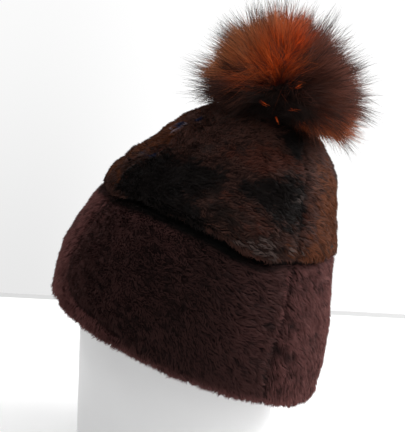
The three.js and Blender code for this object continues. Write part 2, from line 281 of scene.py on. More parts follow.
def fur_ground(node):
    """Points evenly over a panel's outer side: where the tips of its pile end, and the way it faces."""
    points, normals, triangles = corners_of(hides[node].data)
    inside = outer_share(node, points, normals)
    keep = inside[triangles].min(1) > 0.5
    triangles = triangles[keep]
    a, b, c = (points[triangles[:, i]] for i in range(3))
    area = np.linalg.norm(np.cross(b - a, c - a), axis=1) / 2
    tries = int(area.sum() / TUFT_SPACING**2 * 9)
    chosen = random.choice(len(area), tries, p=area / area.sum())
    u, v = random.uniform(size=(2, tries))
    flip = u + v > 1
    u, v = np.where(flip, 1 - u, u), np.where(flip, 1 - v, v)
    w = 1 - u - v
    shares = np.stack([w, u, v], -1)[..., None]
    spots = (points[triangles[chosen]] * shares).sum(1)
    facings = -into_panel(spots, unit((normals[triangles[chosen]] * shares).sum(1)))
    cells = np.floor(spots / TUFT_SPACING).astype(np.int64)
    keys = cells @ np.array([73856093, 19349663, 83492791])
    _, first = np.unique(keys, return_index=True)
    spots, facings = spots[first], facings[first]
    azimuth, height = azimuth_and_height(spots)
    order = np.lexsort((height, np.round(azimuth / 3)))
    return spots[order], facings[order]


def outer_share(node, points, normals):
    """1 for a corner of a panel that carries fur, and 0 for one of its inner side or its laps."""
    flat = to_beanie(points)
    turned = turn_to_beanie(normals)
    radial = flat.copy()
    radial[:, 0] -= axis_shift(flat[:, 2])
    radial[:, 2] = 0
    radius = np.linalg.norm(radial, axis=1)
    outwards = (turned * unit(radial)).sum(1)
    height = flat[:, 2]
    if node.startswith("band"):
        rim = (height < 0.006) & (outwards > -0.6)
        outer = radius > np.interp(height, BAND_HEIGHTS, BAND_RADII) - 0.0075
        return ((outwards > 0.12) & outer | rim).astype(float)
    outer = radius > np.interp(height, CROWN_HEIGHTS, CROWN_RADII) - 0.007
    hem = (turned[:, 2] < -0.4) & (outwards > -0.45) & outer
    return ((outwards > 0.05) | (turned[:, 2] > 0.35) | hem).astype(float)


def into_panel(points, normals):
    """The way into a panel from its fur side, with no turn towards its seams."""
    flat = to_beanie(points)
    flat[:, 0] -= axis_shift(flat[:, 2])
    flat[:, 2] = 0
    out = unit(flat)
    round_it = turn_to_space(np.stack([-out[:, 1], out[:, 0], np.zeros(len(out))], -1))
    return -unit(normals - round_it * (normals * round_it).sum(1, keepdims=True))


TUFT_SPACING = 0.00131
TUFT_WIDTH = 0.00050
# How long a tuft stands, and how deep below its tips the hide is.
PILE = {"band": 0.0052, "crown": 0.0045}
HIDE_DEPTH = {"band": 0.0037, "crown": 0.0030}
# The pile's bumps: how high, how wide, and the number that they are drawn by.
BUMPS = {"band": (0.0005, 0.016, 8), "crown": (0.0009, 0.014, 7)}
# Where the crown's right side swells, as azimuth, height, wide and tall, and by how much.
SWELL_PLACE = (85, 0.160, 35, 0.015)
SWELL = 0.0016
# How deep a seam, a crease or a hollow pinches the pile.
PINCH_DEPTH = 0.0017
# How long a lock of tufts is with the lie of the fur, and how wide across it.
LOCK_LENGTH = {"band": 0.0050, "crown": 0.0048}
LOCK_WIDTH = {"band": 0.0025, "crown": 0.0023}

# By azimuth: how far the fur's lie turns from straight down towards the viewer's right, how flat it
# lies, both in degrees, and how light its colour is, from 0 to 1.6: painted light, lightest on the
# right side where the light falls and at the lit left edge.
LIE_AZIMUTHS = (-180, -100, -70, -64, 0, 34, 36, 66, 84, 110, 114, 180)
LIES = {
    "band": (50, 40, 30, 78, 66, 56, 20, 8, 4, 12, 60, 50),
    "crown": (80, 60, 40, 95, 88, 64, 52, 26, 16, 20, 80, 80),
}
LEANS = (38, 38, 44, 33, 31, 34, 37, 41, 42, 42, 38, 38)
PAINTED_LIGHT = (0.4, 0.7, 1.25, 0.25, 0.0, 0.35, 0.95, 1.05, 1.6, 1.2, 0.4, 0.4)
MOST_LIT_PALE = 1.6

# The straight seams, and how strongly and how wide in degrees they squeeze the pile and get painted shade.
SEAMS = {"band": (-68.0, 112.0, 225.0), "crown": (-68.0, 35.0, 112.0, 225.0)}
SEAM_PINCH = {"band": (0.55, 1.3), "crown": (0.35, 1.0)}
# Where the band's pile is pinched, as lines of azimuth in degrees and height in metres. The left one
# runs down the left seam and on along the rim, and the right one is the seam between front and right.
LEFT_CREASE = (
    (-62.0, 0.0900), (-64.5, 0.0750), (-68.5, 0.0618), (-69.8, 0.0478), (-66.5, 0.0330), (-63.0, 0.0235),
    (-54.5, 0.0145), (-47.4, 0.0116), (-39.7, 0.0122), (-32.0, 0.0105), (-21.0, 0.0108),
)
RIGHT_SEAM = (
    (36.8, 0.1020), (37.3, 0.0961), (37.2, 0.0803), (36.0, 0.0698), (35.5, 0.0606), (35.1, 0.0515),
    (33.8, 0.0437), (31.9, 0.0402), (31.9, 0.0307), (32.7, 0.0185), (35.0, 0.0040),
)
# How strongly each of the two lines pinches the pile, and the azimuth where that fades.
CREASES = ((LEFT_CREASE, 0.90, -22.0), (RIGHT_SEAM, 1.0, 90.0))
CREASE_WIDTH = 0.0014
# Small hollows in the band's pile, which also get painted shade: azimuth, height, wide, tall, depth.
BAND_HOLLOWS = (
    (40.4, 0.0590, 3.6, 0.0038, 0.75),
    (36.4, 0.0550, 2.2, 0.0036, 0.60),
    (39.0, 0.0500, 1.8, 0.0030, 0.55),
    (35.8, 0.0400, 4.6, 0.0046, 1.00),
    (41.6, 0.0375, 3.8, 0.0040, 1.00),
    (34.4, 0.0330, 2.2, 0.0060, 0.75),
    (36.8, 0.0210, 2.4, 0.0040, 0.50),
    (44.0, 0.0820, 3.0, 0.0060, 0.35),
    (50.0, 0.0680, 4.0, 0.0060, 0.40),
    (46.0, 0.0270, 4.0, 0.0050, 0.40),
    (57.0, 0.0450, 5.0, 0.0070, 0.35),
    (60.0, 0.0880, 4.0, 0.0060, 0.35),
    (-45.0, 0.0360, 4.0, 0.0070, 0.35),
    (-25.0, 0.0190, 6.0, 0.0070, 0.40),
    (-10.0, 0.0420, 5.0, 0.0070, 0.35),
    (-22.0, 0.0580, 6.0, 0.0080, 0.35),
)
# Paler places of the band's pile: azimuth, height, wide, tall, how pale.
BAND_LIGHTS = (
    (-37.0, 0.0895, 8.0, 0.0050, 0.45),
    (-24.0, 0.0900, 6.0, 0.0045, 0.35),
    (-17.0, 0.0790, 5.0, 0.0040, 0.25),
    (-60.0, 0.0720, 4.0, 0.0090, 0.40),
    (-41.0, 0.0680, 6.0, 0.0060, 0.25),
    (-48.0, 0.0850, 7.0, 0.0060, 0.35),
    (22.0, 0.0450, 8.0, 0.0100, 0.20),
)


def pinches(kind, azimuth, height):
    """How far the pile is pinched at each place, from 0 to 1, by seams, creases and hollows; the same
    amount paints shade on the fur there, drawing it towards its root colour.
    """
    away = np.min([turn_between(azimuth, at) for at in SEAMS[kind]], 0)
    strength, wide = SEAM_PINCH[kind]
    pinch_shade = strength * np.exp(-((away / wide) ** 2))
    if kind == "crown":
        return pinch_shade
    for line, strength, fades in CREASES:
        away = off_line(azimuth, height, line)
        amount = strength * np.exp(-((away / CREASE_WIDTH) ** 2))
        pinch_shade = np.maximum(pinch_shade, amount * ease(-azimuth, -fades - 8, -fades + 8))
    for at, up, wide, tall, depth in BAND_HOLLOWS:
        pinch_shade = np.maximum(pinch_shade, depth * within(azimuth, height, at, up, wide, tall))
    return pinch_shade


def lit_paleness(kind, azimuth, height):
    """How light the fur's colour is, from 0 to 1.6: painted light, lightest where the light falls on the
    right side. The band's is lightest at the rim, outside the left crease and beside the right seam,
    as painted light there and a painted highlight along the seam's edge."""
    lit_pale = np.interp(azimuth, LIE_AZIMUTHS, PAINTED_LIGHT)
    if kind == "crown":
        return lit_pale
    # Painted light on the left roll outside the crease and along the rim, and a painted highlight beside
    # the right seam.
    outside = ease(off_line(azimuth, height, LEFT_CREASE), 0.0005, -0.0035)
    outside *= ease(azimuth, -12, -42) * ease(azimuth, -150, -95)
    rim = ease(height, 0.010, 0.001)
    beside = off_line(azimuth, height, RIGHT_SEAM)
    edge = np.exp(-(((beside + 0.0030) / 0.0013) ** 2)) * ease(height, 0.030, 0.050)
    for at, up, wide, tall, amount in BAND_LIGHTS:
        lit_pale = lit_pale + amount * within(azimuth, height, at, up, wide, tall)
    return np.clip(np.maximum(lit_pale + 0.9 * rim + 0.8 * edge, 1.35 * outside), 0, MOST_LIT_PALE)


def locks_over(kind, spots, facings, flow):
    """Groups tufts into locks. Returns each tuft's lock, the lock's middle line's way across, and
    how far across from that line the tuft is, in widths."""
    long, wide = LOCK_LENGTH[kind], LOCK_WIDTH[kind]
    count = int(len(spots) * TUFT_SPACING**2 / (long * wide) * 1.3)
    middles = random.choice(len(spots), count, replace=False)
    across = np.cross(facings[middles], flow[middles])
    nearest = np.empty(len(spots), np.int64)
    for start in range(0, len(spots), 2000):
        part = spots[start : start + 2000]
        away = 0
        for way, size in ((flow[middles], long), (across, wide), (facings[middles], wide)):
            away = away + ((part @ way.T - (spots[middles] * way).sum(1)) / size) ** 2
        nearest[start : start + 2000] = away.argmin(1)
    off = ((spots - spots[middles][nearest]) * across[nearest]).sum(1) / wide
    return nearest, across[nearest], np.clip(off, -1, 1)


def lie_of_fur(kind, spots, facings, azimuth):
    """The way that the fur lies: down the hat, turned by its table and by a soft swirl."""
    flat = to_beanie(spots)
    flat[:, 0] -= axis_shift(flat[:, 2])
    flat[:, 2] = -0.6 * np.linalg.norm(flat[:, :2], axis=1)
    fall = turn_to_space(unit(flat * (0.3, 0.3, 1.0)))
    down = unit(fall - facings * (fall * facings).sum(1, keepdims=True))
    side = np.cross(facings, down)
    swirl = waves(spots, 0.035, 3) * 20 + waves(spots, 0.009, 4) * 30
    angle = np.radians(np.interp(azimuth, LIE_AZIMUTHS, LIES[kind]) + swirl)[:, None]
    return down * np.cos(angle) + side * np.sin(angle)


def make_fur(node):
    """A panel's fur: a tapered tuft at every spot of its ground, in locks that follow its lie."""
    kind = node.split("_")[0]
    spots, facings = fur_ground(node)
    azimuth, height = azimuth_and_height(spots)
    pinch_shade = pinches(kind, azimuth, height)
    lit_pale = lit_paleness(kind, azimuth, height)
    rim = ease(height, 0.008, 0.000) if kind == "band" else np.zeros(len(spots))
    hem = ease(height - hem_height(azimuth), 0.004, 0.000) if kind == "crown" else np.zeros(len(spots))
    rise, broad, seed = BUMPS[kind]
    bumps = rise * waves(spots, broad, seed)
    at, up, wide, tall = SWELL_PLACE
    swell = SWELL * np.exp(-(((azimuth - at) / wide) ** 2) - ((height - up) / tall) ** 2)
    spots = spots - facings * (PINCH_DEPTH * pinch_shade - bumps - swell)[:, None]
    flow = lie_of_fur(kind, spots, facings, azimuth)
    lock, across, off = locks_over(kind, spots, facings, flow)
    own = random.uniform(size=(len(spots), 5))
    lot = random.uniform(size=(lock.max() + 1, 5))[lock]
    flow = unit(flow + across * (0.9 * (lot[:, 0] - 0.5))[:, None])
    tall = PILE[kind] * (0.84 + 0.24 * lot[:, 1] + 0.14 * (own[:, 0] - 0.5) - 0.10 * off**2)
    tall *= 1 + 0.35 * rim * own[:, 1] + 0.45 * hem * own[:, 1]
    lean = np.interp(azimuth, LIE_AZIMUTHS, LEANS) + 20 * (lot[:, 2] - 0.5) + 18 * (own[:, 2] - 0.5)
    reach = flow * (tall * np.tan(np.radians(lean)) * (1 - 0.45 * rim - 0.15 * hem))[:, None]
    root = spots - facings * PILE[kind] - reach * 0.55
    tip = root + facings * tall[:, None] + reach
    tip -= across * (off * LOCK_WIDTH[kind] * 0.55)[:, None]
    middle = root + facings * (tall * 0.50)[:, None] + reach * 0.28
    middle += random.normal(size=middle.shape) * 0.00015
    spines = np.stack([root, middle, tip], 1)
    widths = np.zeros((len(spots), 3))
    widths[:, 1] = TUFT_WIDTH * (0.75 + 0.5 * own[:, 3])
    rounded = across * (0.75 * off)[:, None] + flow * (0.5 * (lot[:, 3] - 0.5))[:, None]
    rounded += across * (0.6 * (lot[:, 0] - 0.5))[:, None]
    fur, strand, share = strand_mesh(f"{node}_fur", spines, widths, unit(facings + rounded), 0.6)
    tuft = 0.72 * lot[:, 4] + 0.10 * own[:, 4] + 0.18 * (1 - off**2)
    add_numbers(fur.data, "along", share)
    add_numbers(fur.data, "tuft", tuft[strand])
    add_tones(fur.data, kind, spots, strand)
    add_numbers(fur.data, "pinch_shade", pinch_shade[strand])
    add_numbers(fur.data, "lit_pale", lit_pale[strand])
    fur.data.materials.append(furs[kind])
    return fur


# Tones: where the crown's hide changes colour, and where painted shadow, a painted highlight and
# painted glints lie. A row for each patch, in degrees and metres.
# tone, azimuth, height, wide, tall, strength
CROWN_PATCHES = (
    ("black_and_shadow", -53, 0.108, 13, 0.012, 0.85),
    ("black_and_shadow", -45, 0.121, 16, 0.011, 0.85),
    ("black_and_shadow", -30, 0.124, 15, 0.012, 0.85),
    ("black_and_shadow", -20, 0.132, 10, 0.008, 0.7),
    ("black_and_shadow", -34, 0.107, 13, 0.008, 0.8),
    ("black_and_shadow", -16, 0.106, 10, 0.006, 0.6),
    ("black_and_shadow", -42, 0.097, 26, 0.007, 0.9),
    ("black_and_shadow", -12, 0.100, 14, 0.005, 0.6),
    ("black_and_shadow", 7, 0.138, 11, 0.011, 0.85),
    ("black_and_shadow", 21, 0.140, 12, 0.014, 1.0),
    ("black_and_shadow", 27, 0.130, 8, 0.012, 0.8),
    ("black_and_shadow", 28, 0.146, 6, 0.006, 0.4),
    # Painted shadow of the pompom on the crown's top, drawn in the darkest tone.
    ("black_and_shadow", 20, 0.178, 18, 0.007, 0.9),
    ("black_and_shadow", 25, 0.170, 12, 0.009, 0.85),
    ("black_and_shadow", -3, 0.184, 14, 0.004, 0.5),
    ("tan", -10, 0.121, 8, 0.008, 0.8),
    ("tan", -3, 0.112, 8, 0.006, 0.7),
    ("tan", 22, 0.1060, 15, 0.007, 0.75),
    ("rust_and_ridge_light", -9, 0.125, 5, 0.004, 0.4),
    ("rust_and_ridge_light", 2, 0.121, 4, 0.004, 0.3),
    # Along the crease's ridge: reddish fur with a painted highlight where the ridge catches the light.
    ("rust_and_ridge_light", -16, 0.151, 15, 0.0045, 0.7),
    ("rust_and_ridge_light", 2, 0.156, 14, 0.0040, 0.85),
    ("rust_and_ridge_light", 20, 0.160, 12, 0.0035, 0.9),
    ("rust_and_ridge_light", 10, 0.113, 12, 0.005, 0.3),
    ("rust_and_ridge_light", -66, 0.131, 4, 0.004, 1.0),
    ("rust_and_ridge_light", -71, 0.137, 3, 0.004, 0.9),
    ("grey", 9, 0.1020, 8, 0.003, 0.5),
    ("grey", 20, 0.1030, 9, 0.004, 1.0),
    ("grey", 30, 0.1065, 8, 0.0045, 1.0),
    ("grey", 35, 0.1110, 3, 0.007, 0.9),
    ("rust_and_ridge_light", 38, 0.1240, 4, 0.012, 0.5),
    ("grey", 31, 0.1400, 5, 0.005, 0.5),
    ("grey", -67, 0.1230, 9, 0.003, 0.6),
    ("gold", 63, 0.120, 18, 0.020, 1.0),
    ("gold", 66, 0.148, 17, 0.018, 0.8),
    ("gold", 74, 0.108, 32, 0.009, 1.0),
    ("gold", 43, 0.1055, 9, 0.0055, 1.0),
    ("gold", -82, 0.124, 9, 0.016, 0.7),
    ("gold", -88, 0.150, 14, 0.014, 0.6),
    ("gold", -76, 0.143, 7, 0.006, 0.8),
    ("gold", -66, 0.100, 4, 0.007, 0.5),
    ("gold", -92, 0.104, 16, 0.010, 0.7),
    ("grey", 48, 0.152, 6, 0.005, 0.3),
    ("grey", 36, 0.158, 5, 0.004, 0.25),
    # Painted glints: small bluish and whitish highlights on the crown's left side.
    ("navy_glint", -73, 0.151, 2.5, 0.0024, 0.9),
    ("navy_glint", -62, 0.161, 3.5, 0.0022, 0.9),
    ("navy_glint", -66, 0.1250, 5, 0.0028, 0.9),
    ("white", -74, 0.1475, 3.5, 0.0035, 0.75),
    ("white", -70, 0.1525, 2, 0.0020, 0.7),
    ("gold", 165, 0.150, 20, 0.012, 0.5),
    ("black_and_shadow", 140, 0.130, 20, 0.013, 1.0),
    ("black_and_shadow", 195, 0.120, 24, 0.012, 1.0),
    ("tan", 170, 0.112, 20, 0.008, 0.6),
    ("rust_and_ridge_light", 150, 0.158, 26, 0.005, 0.6),
    ("grey", 205, 0.099, 16, 0.004, 0.8),
    ("gold", 248, 0.130, 18, 0.014, 0.8),
    ("black_and_shadow", 236, 0.110, 14, 0.010, 0.8),
    ("gold", 100, 0.130, 12, 0.018, 0.6),
    ("black_and_shadow", 96, 0.160, 14, 0.009, 0.6),
)
TONES = ("black_and_shadow", "tan", "rust_and_ridge_light", "gold", "white", "grey", "navy_glint")

# By azimuth: how deep the hem's shade is on the band.
SHADE_AZIMUTHS = (-180, -70, -50, 5, 30, 60, 110, 180)
SHADES = (1, 0.7, 0.9, 1, 0.35, 0.1, 0.4, 1)


def add_tones(mesh, kind, spots, strand):
    """Writes how far the band's strands lie in the shade of the hem, or each tone's share of the
    crown's strands."""
    azimuth, height = azimuth_and_height(spots)
    if kind == "band":
        gap = hem_height(azimuth) - height
        deep = np.interp(azimuth, SHADE_AZIMUTHS, SHADES)
        under = deep * ease(gap, 0.0042 + 0.0055 * deep, 0.0038)
        add_numbers(mesh, "under", np.maximum(under, (gap < 0.0015) * np.minimum(1, 0.3 + deep))[strand])
        return
    blur_a = azimuth + 5 * waves(spots, 0.03, 11) + 3 * waves(spots, 0.007, 13)
    blur_h = height + 0.004 * waves(spots, 0.025, 12) + 0.002 * waves(spots, 0.006, 14)
    for tone in TONES:
        amount = np.zeros(len(spots))
        for name, at, up, wide, tall, strength in CROWN_PATCHES:
            if name != tone:
                continue
            small = min(wide / 12, 1)
            near_a = azimuth + (blur_a - azimuth) * small
            near_h = height + (blur_h - height) * small
            amount += strength * within(near_a, near_h, at, up, wide, tall)
        add_numbers(mesh, tone, np.clip(amount, 0, 1)[strand])


# Materials

def set_inputs(node, **values):
    """Sets a node's own sockets, whose names have a space for each low line."""
    for name, value in values.items():
        node.inputs[name.replace("_", " ")].default_value = value


class Graph:
    """A short way to place nodes in a tree and join them."""

    def __init__(self, tree):
        self.tree = tree

    def node(self, kind, **values):
        made = self.tree.nodes.new(kind)
        for key, value in values.items():
            setattr(made, key, value)
        return made

    def link(self, a, b):
        self.tree.links.new(a, b)

    def number(self, name):
        return self.node("ShaderNodeAttribute", attribute_name=name).outputs["Fac"]

    def feed(self, socket, value):
        """Sets a socket to a number or a colour, or links it to the value of another node."""
        if isinstance(value, (int, float)):
            socket.default_value = value
        elif isinstance(value, tuple):
            socket.default_value = (*value, 1.0)
        else:
            self.link(value, socket)

    def math(self, operation, a, b):
        made = self.node("ShaderNodeMath", operation=operation)
        self.feed(made.inputs[0], a)
        self.feed(made.inputs[1], b)
        return made.outputs[0]

    def mix(self, share, a, b):
        """A colour between two colours."""
        made = self.node("ShaderNodeMix", data_type="RGBA", clamp_factor=True)
        sockets = {s.identifier: s for s in made.inputs}
        for key, value in (("Factor_Float", share), ("A_Color", a), ("B_Color", b)):
            self.feed(sockets[key], value)
        return next(s for s in made.outputs if s.identifier == "Result_Color")

    def span(self, value, low, high, to_low=0.0, to_high=1.0):
        """A value eased from one range into another, whose ends may be values of other nodes."""
        made = self.node("ShaderNodeMapRange", interpolation_type="SMOOTHSTEP")
        self.link(value, made.inputs["Value"])
        for key, end in (("From Min", low), ("From Max", high), ("To Min", to_low), ("To Max", to_high)):
            self.feed(made.inputs[key], end)
        return made.outputs["Result"]

    def noise(self, scale, detail):
        place = self.node("ShaderNodeTexCoord").outputs["Object"]
        made = self.node("ShaderNodeTexNoise")
        self.link(place, made.inputs["Vector"])
        set_inputs(made, Scale=scale, Detail=detail)
        return made.outputs["Fac"]

    def bump(self, surface, height, strength, distance):
        """Fine relief on a surface."""
        made = self.node("ShaderNodeBump")
        set_inputs(made, Strength=strength, Distance=distance)
        self.link(height, made.inputs["Height"])
        self.link(made.outputs["Normal"], surface.inputs["Normal"])


def new_material(name):
    """A new material, a short way into its nodes, and its surface."""
    made = bpy.data.materials.new(name)
    made.use_nodes = True
    return made, Graph(made.node_tree), made.node_tree.nodes["Principled BSDF"]


# Colours of a strand's two ends, linear: root, tip. The dark roots are partly painted shade deep in the
# pile, and the painted shade of seams, creases and the hem's lap is drawn with them.
BAND_ROOT_SHADE = (0.0055, 0.0032, 0.0030)
BAND_TIP = (0.0375, 0.0162, 0.0142)
# The tip's colour where the painted light is strongest.
BAND_LIT_TIP = (0.148, 0.0570, 0.0530)
HEM_SHADE = (0.0026, 0.0030, 0.0026)
CROWN_ROOT_SHADE = (0.0038, 0.0026, 0.0023)
CROWN_TIP = (0.062, 0.0260, 0.0190)
TONE_TIPS = {
    "black_and_shadow": (0.0062, 0.0041, 0.0035),
    "tan": (0.0165, 0.0090, 0.0068),
    "rust_and_ridge_light": (0.062, 0.0180, 0.011),
    "grey": (0.094, 0.064, 0.056),
    "gold": (0.095, 0.0280, 0.0105),
    # Colours of the painted glints.
    "navy_glint": (0.008, 0.012, 0.040),
    "white": (0.300, 0.250, 0.290),
}
# Colours of the pompom's hair, linear: root, middle, tip. The light orange and tan ones are partly
# painted light on the top and left, and the dark one partly painted shade underneath.
DARK_SHADED_HAIR = ((0.005, 0.003, 0.0025), (0.010, 0.0055, 0.0045), (0.019, 0.011, 0.009))
WARM_HAIR = ((0.036, 0.0105, 0.006), (0.165, 0.047, 0.028), (0.290, 0.098, 0.062))
BRIGHT_LIT_HAIR = ((0.420, 0.036, 0.004), (0.860, 0.106, 0.0075), (0.720, 0.150, 0.032))
TAN_AND_LIT_HAIR = (BRIGHT_LIT_HAIR[0], (0.680, 0.180, 0.050), (0.780, 0.320, 0.150))
GUARD_END = (0.022, 0.013, 0.011)
DIM_HAIR = (0.010, 0.005, 0.0035)
# Colours between which the lining's weave and the stand's white change, linear.
LINING_COLOURS = ((0.018, 0.010, 0.009), (0.040, 0.022, 0.019))
STAND_COLOURS = ((0.80, 0.80, 0.805), (0.84, 0.84, 0.84))


def strand_shade_group():
    """A strand's brightness by its share of the way, its own random number and soft patches; the dark
    root is partly painted shade deep in the pile.
    """
    group = bpy.data.node_groups.new("strand_shade", "ShaderNodeTree")
    face = group.interface
    for name in ("Along", "Tuft", "Patches", "Root Darkness", "Tuft Contrast", "Patch Contrast"):
        face.new_socket(name, in_out="INPUT", socket_type="NodeSocketFloat")
    face.new_socket("Shade", in_out="OUTPUT", socket_type="NodeSocketFloat")
    g = Graph(group)
    into, out = g.node("NodeGroupInput"), g.node("NodeGroupOutput")
    given = into.outputs
    rise = g.math("MULTIPLY", g.span(given["Along"], 0.05, 0.85), given["Root Darkness"])
    rise = g.math("ADD", rise, g.math("SUBTRACT", 1.0, given["Root Darkness"]))
    tuft = g.math("MULTIPLY", g.math("SUBTRACT", given["Tuft"], 0.5), given["Tuft Contrast"])
    patch = g.math("MULTIPLY", g.math("SUBTRACT", given["Patches"], 0.5), given["Patch Contrast"])
    change = g.math("ADD", g.math("ADD", tuft, patch), 1.0)
    g.link(g.math("MULTIPLY", rise, change), out.inputs["Shade"])
    return group


def shaded(g, patches, root, tuft, patch):
    """The brightness of a strand: how dark its root is, and how far tufts and patches differ."""
    made = g.node("ShaderNodeGroup")
    made.node_tree = strand_shade
    g.link(g.number("along"), made.inputs["Along"])
    g.link(g.number("tuft"), made.inputs["Tuft"])
    g.link(patches, made.inputs["Patches"])
    set_inputs(made, Root_Darkness=root, Tuft_Contrast=tuft, Patch_Contrast=patch)
    return made.outputs["Shade"]


def patches_of(g, large, small):
    """Soft patches of two sizes, around a half."""
    halves = [g.math("MULTIPLY", g.noise(scale, 2), 0.5) for scale in (large, small)]
    return g.math("ADD", *halves)


def band_fur():
    made, g, surface = new_material("plum_brown_sheared_fur")
    shade = shaded(g, patches_of(g, 42, 210), 0.78, 1.75, 2.8)
    # Painted light: the band's tips turn towards the lit tip colour.
    lit_pale = g.math("DIVIDE", g.number("lit_pale"), MOST_LIT_PALE)
    colour = g.mix(shade, BAND_ROOT_SHADE, g.mix(lit_pale, BAND_TIP, BAND_LIT_TIP))
    # Painted shade in the seams, creases and hollows, drawn towards the root colour.
    colour = g.mix(g.math("MULTIPLY", g.number("pinch_shade"), 0.85), colour, BAND_ROOT_SHADE)
    colour = g.mix(g.number("under"), colour, HEM_SHADE)
    g.link(colour, surface.inputs["Base Color"])
    set_inputs(surface, Roughness=0.72, Specular_IOR_Level=0.08)
    set_inputs(surface, Sheen_Weight=0.14, Sheen_Roughness=0.3, Sheen_Tint=(0.85, 0.38, 0.34, 1.0))
    return made


def crown_fur():
    made, g, surface = new_material("patchy_sheared_fur")
    tuft = g.number("tuft")
    shade = shaded(g, patches_of(g, 60, 230), 0.80, 1.75, 2.9)
    edge = g.noise(160, 2)
    streaks = g.span(g.math("ADD", tuft, g.math("MULTIPLY", edge, 0.3)), 0.74, 0.94)
    flecks = g.span(g.math("ADD", g.noise(240, 1), g.math("MULTIPLY", tuft, 0.25)), 0.66, 0.84)
    tip = g.mix(g.math("MULTIPLY", flecks, 0.45), CROWN_TIP, TONE_TIPS["rust_and_ridge_light"])
    for tone in TONES:
        if tone in ("grey", "white"):
            amount = g.math("MULTIPLY", streaks, g.span(g.number(tone), 0.05, 0.60))
        else:
            broken = g.math("ADD", g.math("MULTIPLY", edge, 1.2), g.math("MULTIPLY", tuft, 0.9))
            amount = g.math("ADD", g.number(tone), g.math("SUBTRACT", broken, 1.05))
            amount = g.math("MULTIPLY", g.span(amount, 0.10, 0.80), g.span(g.number(tone), 0.02, 0.2))
        tip = g.mix(amount, tip, TONE_TIPS[tone])
    colour = g.mix(shade, g.mix(0.85, tip, CROWN_ROOT_SHADE), tip)
    # Painted shade in the seams and under the hem's lap, drawn towards the root colour.
    colour = g.mix(g.math("MULTIPLY", g.number("pinch_shade"), 0.7), colour, CROWN_ROOT_SHADE)
    g.link(colour, surface.inputs["Base Color"])
    set_inputs(surface, Roughness=0.62, Specular_IOR_Level=0.08)
    return made


def lining_cloth():
    made, g, surface = new_material("plain_brown_lining")
    weave = g.noise(900, 2)
    g.link(g.mix(weave, *LINING_COLOURS), surface.inputs["Base Color"])
    g.bump(surface, weave, 0.3, 0.0004)
    set_inputs(surface, Roughness=0.8)
    return made


def pompom_fur():
    made, g, surface = new_material("rust_long_fur")
    along, warm_unshaded, bright_and_lit, tan = (g.number(name) for name in ("along", "warm_unshaded", "bright_and_lit", "tan"))
    # The light and tan colours are partly painted light, and the dark one partly painted shade.
    root, middle, tip = (
        g.mix(bright_and_lit, g.mix(warm_unshaded, dark, warmer), g.mix(tan, brightest, paler))
        for dark, warmer, brightest, paler in zip(DARK_SHADED_HAIR, WARM_HAIR, BRIGHT_LIT_HAIR, TAN_AND_LIT_HAIR)
    )
    colour = g.mix(g.span(along, 0.0, 0.55), root, middle)
    colour = g.mix(g.span(along, 0.6, 1.0), colour, tip)
    dark_end = g.math("MULTIPLY", g.span(along, 0.45, 0.85), g.number("guard"))
    colour = g.mix(dark_end, colour, GUARD_END)
    dim = g.math("SUBTRACT", 1.0, g.math("MULTIPLY", g.number("tuft"), 0.74))
    colour = g.mix(dim, DIM_HAIR, colour)
    g.link(colour, surface.inputs["Base Color"])
    set_inputs(surface, Roughness=0.55, Specular_IOR_Level=0.07)
    return made


def stand_white():
    made, g, surface = new_material("satin_white_stand")
    g.link(g.mix(g.noise(9, 3), *STAND_COLOURS), surface.inputs["Base Color"])
    g.link(g.span(g.noise(60, 4), 0.3, 0.7, 0.42, 0.55), surface.inputs["Roughness"])
    g.bump(surface, g.noise(420, 2), 0.08, 0.0005)
    return made


strand_shade = strand_shade_group()
furs = {"band": band_fur(), "crown": crown_fur()}
lining = lining_cloth()
long_fur = pompom_fur()
white = stand_white()


# The panels' hides: their shade, as the share of the way along a strand and as a tuft's own number.
HIDE_ALONG = 0.22
HIDE_TUFT = 0.3
# The crown's hide is lifted by this much at the hem, and by less up to this height over it.
HEM_LIFT = 0.0034
HEM_TALL = 0.012
# The band's hide is fur up from this far below the hem.
BAND_UNDER_HEM = 0.008


def dress_panel(node, hide):
    """Pulls a panel's hide in under its pile, gives it its fur, and lines its inner side."""
    kind = node.split("_")[0]
    fur = make_fur(node)
    points, normals, _ = corners_of(hide.data)
    carries = outer_share(node, points, normals)
    azimuth, height = azimuth_and_height(points)
    sunk = points + into_panel(points, normals) * (carries * HIDE_DEPTH[kind])[:, None]
    if kind == "crown":
        above = np.clip(1 - (height - hem_height(azimuth)) / HEM_TALL, 0, 1)
        sunk += turn_to_space(np.array([[0.0, 0.0, HEM_LIFT]])) * above[:, None]
        carries = np.maximum(carries, above > 0.2)
    hide.data.vertices.foreach_set("co", sunk.ravel())
    add_numbers(hide.data, "along", np.full(len(points), HIDE_ALONG))
    add_numbers(hide.data, "tuft", np.full(len(points), HIDE_TUFT))
    # Painted shade on the crown's hide up under the hem's lap, joined with the seams' painted shade.
    painted_hem_shade = ease(height - hem_height(azimuth), HEM_TALL, 0.006) if kind == "crown" else 0
    add_numbers(hide.data, "pinch_shade", np.maximum(pinches(kind, azimuth, height), painted_hem_shade))
    add_numbers(hide.data, "lit_pale", lit_paleness(kind, azimuth, height))
    add_tones(hide.data, kind, points, np.arange(len(points)))
    hide.data.materials.clear()
    hide.data.materials.append(furs[kind])
    hide.data.materials.append(lining)
    if kind == "band":
        carries = np.maximum(carries, height > hem_height(azimuth) - BAND_UNDER_HEM)
    for face in hide.data.polygons:
        face.material_index = int(carries[list(face.vertices)].mean() < 0.5)
        face.use_smooth = True
    for piece in (hide, fur):
        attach(piece, "root")
    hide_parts(node)
    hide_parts(node)


hides = {}
for row in ("band", "crown"):
    for name in SIDES:
        hides[f"{row}_{name}"] = joined_copy(f"{row}_{name}", f"{row}_{name}_hide")
for node, hide in hides.items():
    dress_panel(node, hide)


